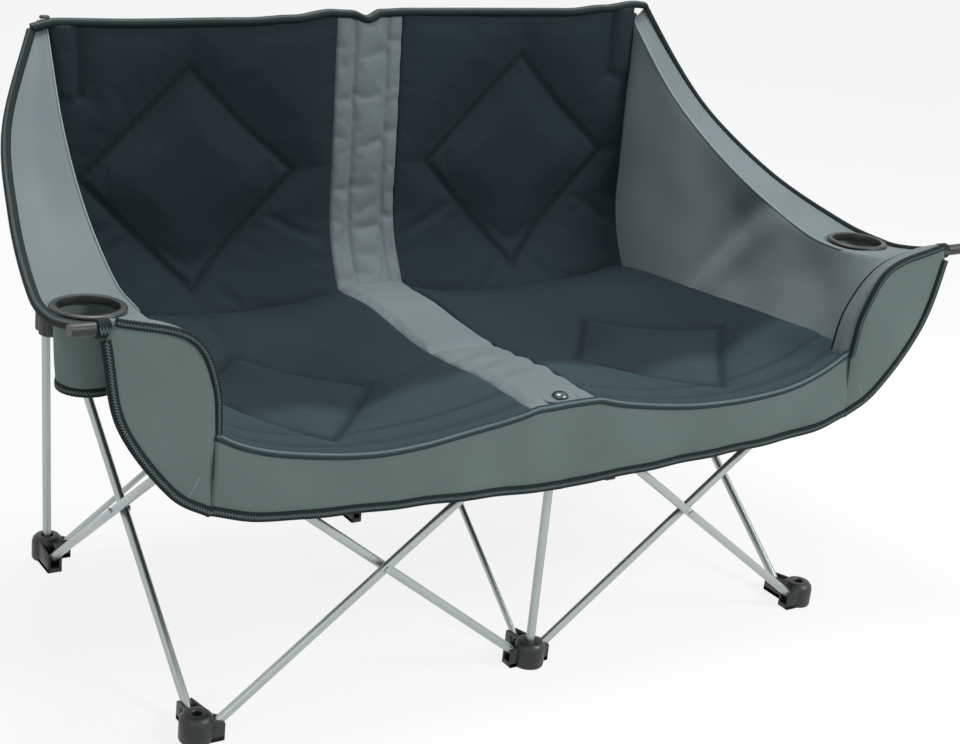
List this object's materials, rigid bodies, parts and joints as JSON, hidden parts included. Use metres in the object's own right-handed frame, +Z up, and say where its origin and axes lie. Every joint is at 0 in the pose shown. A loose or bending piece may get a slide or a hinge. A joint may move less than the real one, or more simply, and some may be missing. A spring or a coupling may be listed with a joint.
{
  "type": "folding camping loveseat",
  "caption": "Folding camping loveseat: quilted sling seats and back with flared arms and cup holders on a scissor tube frame that closes into an upright bundle.",
  "frame": {"origin": "middle of the front middle foot's underside, on the floor", "axes": "+X to the sitter's left, +Y to the rear, +Z up"},
  "size_m": [1.5498, 0.7167, 0.8949],
  "materials": {
    "steel_tube": "silver grey coated tube",
    "black_plastic": "moulded black plastic",
    "pad_cloth": "dark quilted polyester",
    "grey_cloth": "grey woven polyester",
    "skirt_cloth": "grey green woven polyester"
  },
  "bodies": {
    "front_middle_foot": {"front_middle_foot": "black_plastic"},
    "front_left_tube_a": {"front_left_cross_tube_a": "steel_tube", "front_left_cross_rivet": "steel_tube"},
    "front_left_tube_b": {"front_left_cross_tube_b": "steel_tube"},
    "front_left_foot": {"front_left_foot": "black_plastic"},
    "front_left_hub": {"front_left_hub": "black_plastic", "left_arm_tube": "steel_tube", "left_arm_tip_cap": "black_plastic", "left_arm_gusset": "skirt_cloth", "left_cup_ring": "black_plastic", "left_cup_pocket": "grey_cloth"},
    "front_middle_hub": {"front_middle_hub": "black_plastic", "front_middle_post": "steel_tube", "seat_button": "steel_tube", "front_skirt": "skirt_cloth"},
    "front_right_tube_a": {"front_right_cross_tube_a": "steel_tube", "front_right_cross_rivet": "steel_tube"},
    "front_right_tube_b": {"front_right_cross_tube_b": "steel_tube"},
    "front_right_foot": {"front_right_foot": "black_plastic"},
    "front_right_hub": {"front_right_hub": "black_plastic", "right_arm_tube": "steel_tube", "right_arm_tip_cap": "black_plastic", "right_arm_gusset": "skirt_cloth", "right_cup_ring": "black_plastic", "right_cup_pocket": "grey_cloth"},
    "seat": {"left_seat_pad": "pad_cloth", "right_seat_pad": "pad_cloth", "seat_centre_strip": "grey_cloth"},
    "left_side_tube_a": {"left_side_cross_tube_a": "steel_tube", "left_side_cross_rivet": "steel_tube"},
    "left_side_tube_b": {"left_side_cross_tube_b": "steel_tube"},
    "rear_left_foot": {"rear_left_foot": "black_plastic"},
    "rear_left_hub": {"rear_left_hub": "black_plastic"},
    "rear_left_post": {"rear_left_post": "steel_tube", "rear_left_post_cap": "black_plastic"},
    "middle_side_tube_a": {"middle_side_cross_tube_a": "steel_tube", "middle_side_cross_rivet": "steel_tube"},
    "middle_side_tube_b": {"middle_side_cross_tube_b": "steel_tube"},
    "rear_middle_foot": {"rear_middle_foot": "black_plastic"},
    "rear_middle_hub": {"rear_middle_hub": "black_plastic"},
    "rear_middle_post": {"rear_middle_post": "steel_tube", "rear_middle_post_cap": "black_plastic", "left_back_pad": "pad_cloth", "right_back_pad": "pad_cloth", "back_centre_strip": "grey_cloth"},
    "right_side_tube_a": {"right_side_cross_tube_a": "steel_tube", "right_side_cross_rivet": "steel_tube"},
    "right_side_tube_b": {"right_side_cross_tube_b": "steel_tube"},
    "rear_right_foot": {"rear_right_foot": "black_plastic"},
    "rear_right_hub": {"rear_right_hub": "black_plastic"},
    "rear_right_post": {"rear_right_post": "steel_tube", "rear_right_post_cap": "black_plastic"},
    "back_left_tube_a": {"back_left_cross_tube_a": "steel_tube", "back_left_cross_rivet": "steel_tube"},
    "back_left_tube_b": {"back_left_cross_tube_b": "steel_tube"},
    "back_right_tube_a": {"back_right_cross_tube_a": "steel_tube", "back_right_cross_rivet": "steel_tube"},
    "back_right_tube_b": {"back_right_cross_tube_b": "steel_tube"},
    "left_armrest": {"left_arm_panel": "grey_cloth"},
    "right_armrest": {"right_arm_panel": "grey_cloth"}
  },
  "joints": [
    {"name": "fold", "type": "hinge", "parent": "front_middle_foot", "child": "front_left_tube_a", "pos_m": [-0.022, 0.0076, 0.021], "axis": [0, 1, 0], "range_deg": [0, 44], "deforming": ["left_seat_pad", "right_seat_pad", "seat_centre_strip", "left_back_pad", "right_back_pad", "back_centre_strip", "front_skirt", "left_arm_panel", "right_arm_panel"]},
    {"name": "front_left_scissor", "type": "hinge", "parent": "front_left_tube_a", "child": "front_left_tube_b", "pos_m": [-0.282, 0, 0.2205], "axis": [0, -1, 0], "range_deg": [-0.5, 88.5]},
    {"name": "front_left_foot_pivot", "type": "hinge", "parent": "front_left_tube_b", "child": "front_left_foot", "pos_m": [-0.542, -0.0076, 0.021], "axis": [0, 1, 0], "range_deg": [-0.5, 44.5]},
    {"name": "front_left_hub_pivot", "type": "hinge", "parent": "front_left_tube_a", "child": "front_left_hub", "pos_m": [-0.542, 0.0076, 0.42], "axis": [0, -1, 0], "range_deg": [-0.5, 44.5]},
    {"name": "front_middle_hub_pivot", "type": "hinge", "parent": "front_left_tube_b", "child": "front_middle_hub", "pos_m": [-0.022, -0.0076, 0.42], "axis": [0, 1, 0], "range_deg": [-0.5, 44.5]},
    {"name": "front_right_lift", "type": "hinge", "parent": "front_middle_foot", "child": "front_right_tube_a", "pos_m": [0.022, 0.0076, 0.021], "axis": [0, -1, 0], "range_deg": [-0.5, 44.5]},
    {"name": "front_right_scissor", "type": "hinge", "parent": "front_right_tube_a", "child": "front_right_tube_b", "pos_m": [0.282, 0, 0.2205], "axis": [0, 1, 0], "range_deg": [-0.5, 88.5]},
    {"name": "front_right_foot_pivot", "type": "hinge", "parent": "front_right_tube_b", "child": "front_right_foot", "pos_m": [0.542, -0.0076, 0.021], "axis": [0, -1, 0], "range_deg": [-0.5, 44.5]},
    {"name": "front_right_hub_pivot", "type": "hinge", "parent": "front_right_tube_a", "child": "front_right_hub", "pos_m": [0.542, 0.0076, 0.42], "axis": [0, 1, 0], "range_deg": [-0.5, 44.5]},
    {"name": "seat_hang", "type": "hinge", "parent": "front_middle_hub", "child": "seat", "pos_m": [0, -0.01, 0.34], "axis": [-1, 0, 0], "range_deg": [-0.5, 88.5]},
    {"name": "left_side_lift", "type": "hinge", "parent": "front_left_foot", "child": "left_side_tube_a", "pos_m": [-0.5564, 0.047, 0.021], "axis": [1, 0, 0], "range_deg": [-0.5, 44.5]},
    {"name": "left_side_scissor", "type": "hinge", "parent": "left_side_tube_a", "child": "left_side_tube_b", "pos_m": [-0.564, 0.307, 0.2205], "axis": [-1, 0, 0], "range_deg": [-0.5, 88.5]},
    {"name": "rear_left_foot_pivot", "type": "hinge", "parent": "left_side_tube_b", "child": "rear_left_foot", "pos_m": [-0.5716, 0.567, 0.021], "axis": [1, 0, 0], "range_deg": [-0.5, 44.5]},
    {"name": "rear_left_hub_pivot", "type": "hinge", "parent": "left_side_tube_a", "child": "rear_left_hub", "pos_m": [-0.5564, 0.567, 0.42], "axis": [-1, 0, 0], "range_deg": [-0.5, 44.5]},
    {"name": "rear_left_post_tilt", "type": "hinge", "parent": "rear_left_foot", "child": "rear_left_post", "pos_m": [-0.564, 0.614, 0.021], "axis": [1, 0, 0], "range_deg": [-0.5, 1.88]},
    {"name": "middle_side_lift", "type": "hinge", "parent": "front_middle_foot", "child": "middle_side_tube_a", "pos_m": [0.0056, 0.047, 0.021], "axis": [1, 0, 0], "range_deg": [-0.5, 44.5]},
    {"name": "middle_side_scissor", "type": "hinge", "parent": "middle_side_tube_a", "child": "middle_side_tube_b", "pos_m": [0, 0.307, 0.2205], "axis": [-1, 0, 0], "range_deg": [-0.5, 88.5]},
    {"name": "rear_middle_foot_pivot", "type": "hinge", "parent": "middle_side_tube_b", "child": "rear_middle_foot", "pos_m": [-0.0056, 0.567, 0.021], "axis": [1, 0, 0], "range_deg": [-0.5, 44.5]},
    {"name": "rear_middle_hub_pivot", "type": "hinge", "parent": "middle_side_tube_a", "child": "rear_middle_hub", "pos_m": [0.0056, 0.567, 0.42], "axis": [-1, 0, 0], "range_deg": [-0.5, 44.5]},
    {"name": "rear_middle_post_tilt", "type": "hinge", "parent": "rear_middle_foot", "child": "rear_middle_post", "pos_m": [0, 0.614, 0.021], "axis": [1, 0, 0], "range_deg": [-0.5, 1.88]},
    {"name": "right_side_lift", "type": "hinge", "parent": "front_right_foot", "child": "right_side_tube_a", "pos_m": [0.5564, 0.047, 0.021], "axis": [1, 0, 0], "range_deg": [-0.5, 44.5]},
    {"name": "right_side_scissor", "type": "hinge", "parent": "right_side_tube_a", "child": "right_side_tube_b", "pos_m": [0.564, 0.307, 0.2205], "axis": [-1, 0, 0], "range_deg": [-0.5, 88.5]},
    {"name": "rear_right_foot_pivot", "type": "hinge", "parent": "right_side_tube_b", "child": "rear_right_foot", "pos_m": [0.5716, 0.567, 0.021], "axis": [1, 0, 0], "range_deg": [-0.5, 44.5]},
    {"name": "rear_right_hub_pivot", "type": "hinge", "parent": "right_side_tube_a", "child": "rear_right_hub", "pos_m": [0.5564, 0.567, 0.42], "axis": [-1, 0, 0], "range_deg": [-0.5, 44.5]},
    {"name": "rear_right_post_tilt", "type": "hinge", "parent": "rear_right_foot", "child": "rear_right_post", "pos_m": [0.564, 0.614, 0.021], "axis": [1, 0, 0], "range_deg": [-0.5, 1.88]},
    {"name": "back_left_lift", "type": "hinge", "parent": "rear_middle_foot", "child": "back_left_tube_a", "pos_m": [-0.022, 0.6196, 0.021], "axis": [0, 1, 0], "range_deg": [-0.5, 44.5]},
    {"name": "back_left_scissor", "type": "hinge", "parent": "back_left_tube_a", "child": "back_left_tube_b", "pos_m": [-0.282, 0.614, 0.2205], "axis": [0, -1, 0], "range_deg": [-0.5, 88.5]},
    {"name": "back_right_lift", "type": "hinge", "parent": "rear_middle_foot", "child": "back_right_tube_a", "pos_m": [0.022, 0.6196, 0.021], "axis": [0, -1, 0], "range_deg": [-0.5, 44.5]},
    {"name": "back_right_scissor", "type": "hinge", "parent": "back_right_tube_a", "child": "back_right_tube_b", "pos_m": [0.282, 0.614, 0.2205], "axis": [0, 1, 0], "range_deg": [-0.5, 88.5]},
    {"name": "left_armrest_gather", "type": "slide", "parent": "front_left_hub", "child": "left_armrest", "axis": [0, -0.8616, -0.5075], "range_m": [-0.005, 0.49606]},
    {"name": "right_armrest_gather", "type": "slide", "parent": "front_right_hub", "child": "right_armrest", "axis": [0, -0.8616, -0.5075], "range_m": [-0.005, 0.49606]}
  ],
  "couplings": [
    {"joint": "front_left_scissor", "follows": "fold", "ratio": 2},
    {"joint": "front_left_foot_pivot", "follows": "fold", "ratio": 1},
    {"joint": "front_left_hub_pivot", "follows": "fold", "ratio": 1},
    {"joint": "front_middle_hub_pivot", "follows": "fold", "ratio": 1},
    {"joint": "front_right_lift", "follows": "fold", "ratio": 1},
    {"joint": "front_right_scissor", "follows": "fold", "ratio": 2},
    {"joint": "front_right_foot_pivot", "follows": "fold", "ratio": 1},
    {"joint": "front_right_hub_pivot", "follows": "fold", "ratio": 1},
    {"joint": "seat_hang", "follows": "fold", "ratio": 2},
    {"joint": "left_side_lift", "follows": "fold", "ratio": 1},
    {"joint": "left_side_scissor", "follows": "fold", "ratio": 2},
    {"joint": "rear_left_foot_pivot", "follows": "fold", "ratio": 1},
    {"joint": "rear_left_hub_pivot", "follows": "fold", "ratio": 1},
    {"joint": "rear_left_post_tilt", "follows": "fold", "ratio": 0.031289},
    {"joint": "middle_side_lift", "follows": "fold", "ratio": 1},
    {"joint": "middle_side_scissor", "follows": "fold", "ratio": 2},
    {"joint": "rear_middle_foot_pivot", "follows": "fold", "ratio": 1},
    {"joint": "rear_middle_hub_pivot", "follows": "fold", "ratio": 1},
    {"joint": "rear_middle_post_tilt", "follows": "fold", "ratio": 0.031289},
    {"joint": "right_side_lift", "follows": "fold", "ratio": 1},
    {"joint": "right_side_scissor", "follows": "fold", "ratio": 2},
    {"joint": "rear_right_foot_pivot", "follows": "fold", "ratio": 1},
    {"joint": "rear_right_hub_pivot", "follows": "fold", "ratio": 1},
    {"joint": "rear_right_post_tilt", "follows": "fold", "ratio": 0.031289},
    {"joint": "back_left_lift", "follows": "fold", "ratio": 1},
    {"joint": "back_left_scissor", "follows": "fold", "ratio": 2},
    {"joint": "back_right_lift", "follows": "fold", "ratio": 1},
    {"joint": "back_right_scissor", "follows": "fold", "ratio": 2},
    {"joint": "left_armrest_gather", "follows": "fold", "m_per_rad": 0.63945},
    {"joint": "right_armrest_gather", "follows": "fold", "m_per_rad": 0.63945}
  ]
}
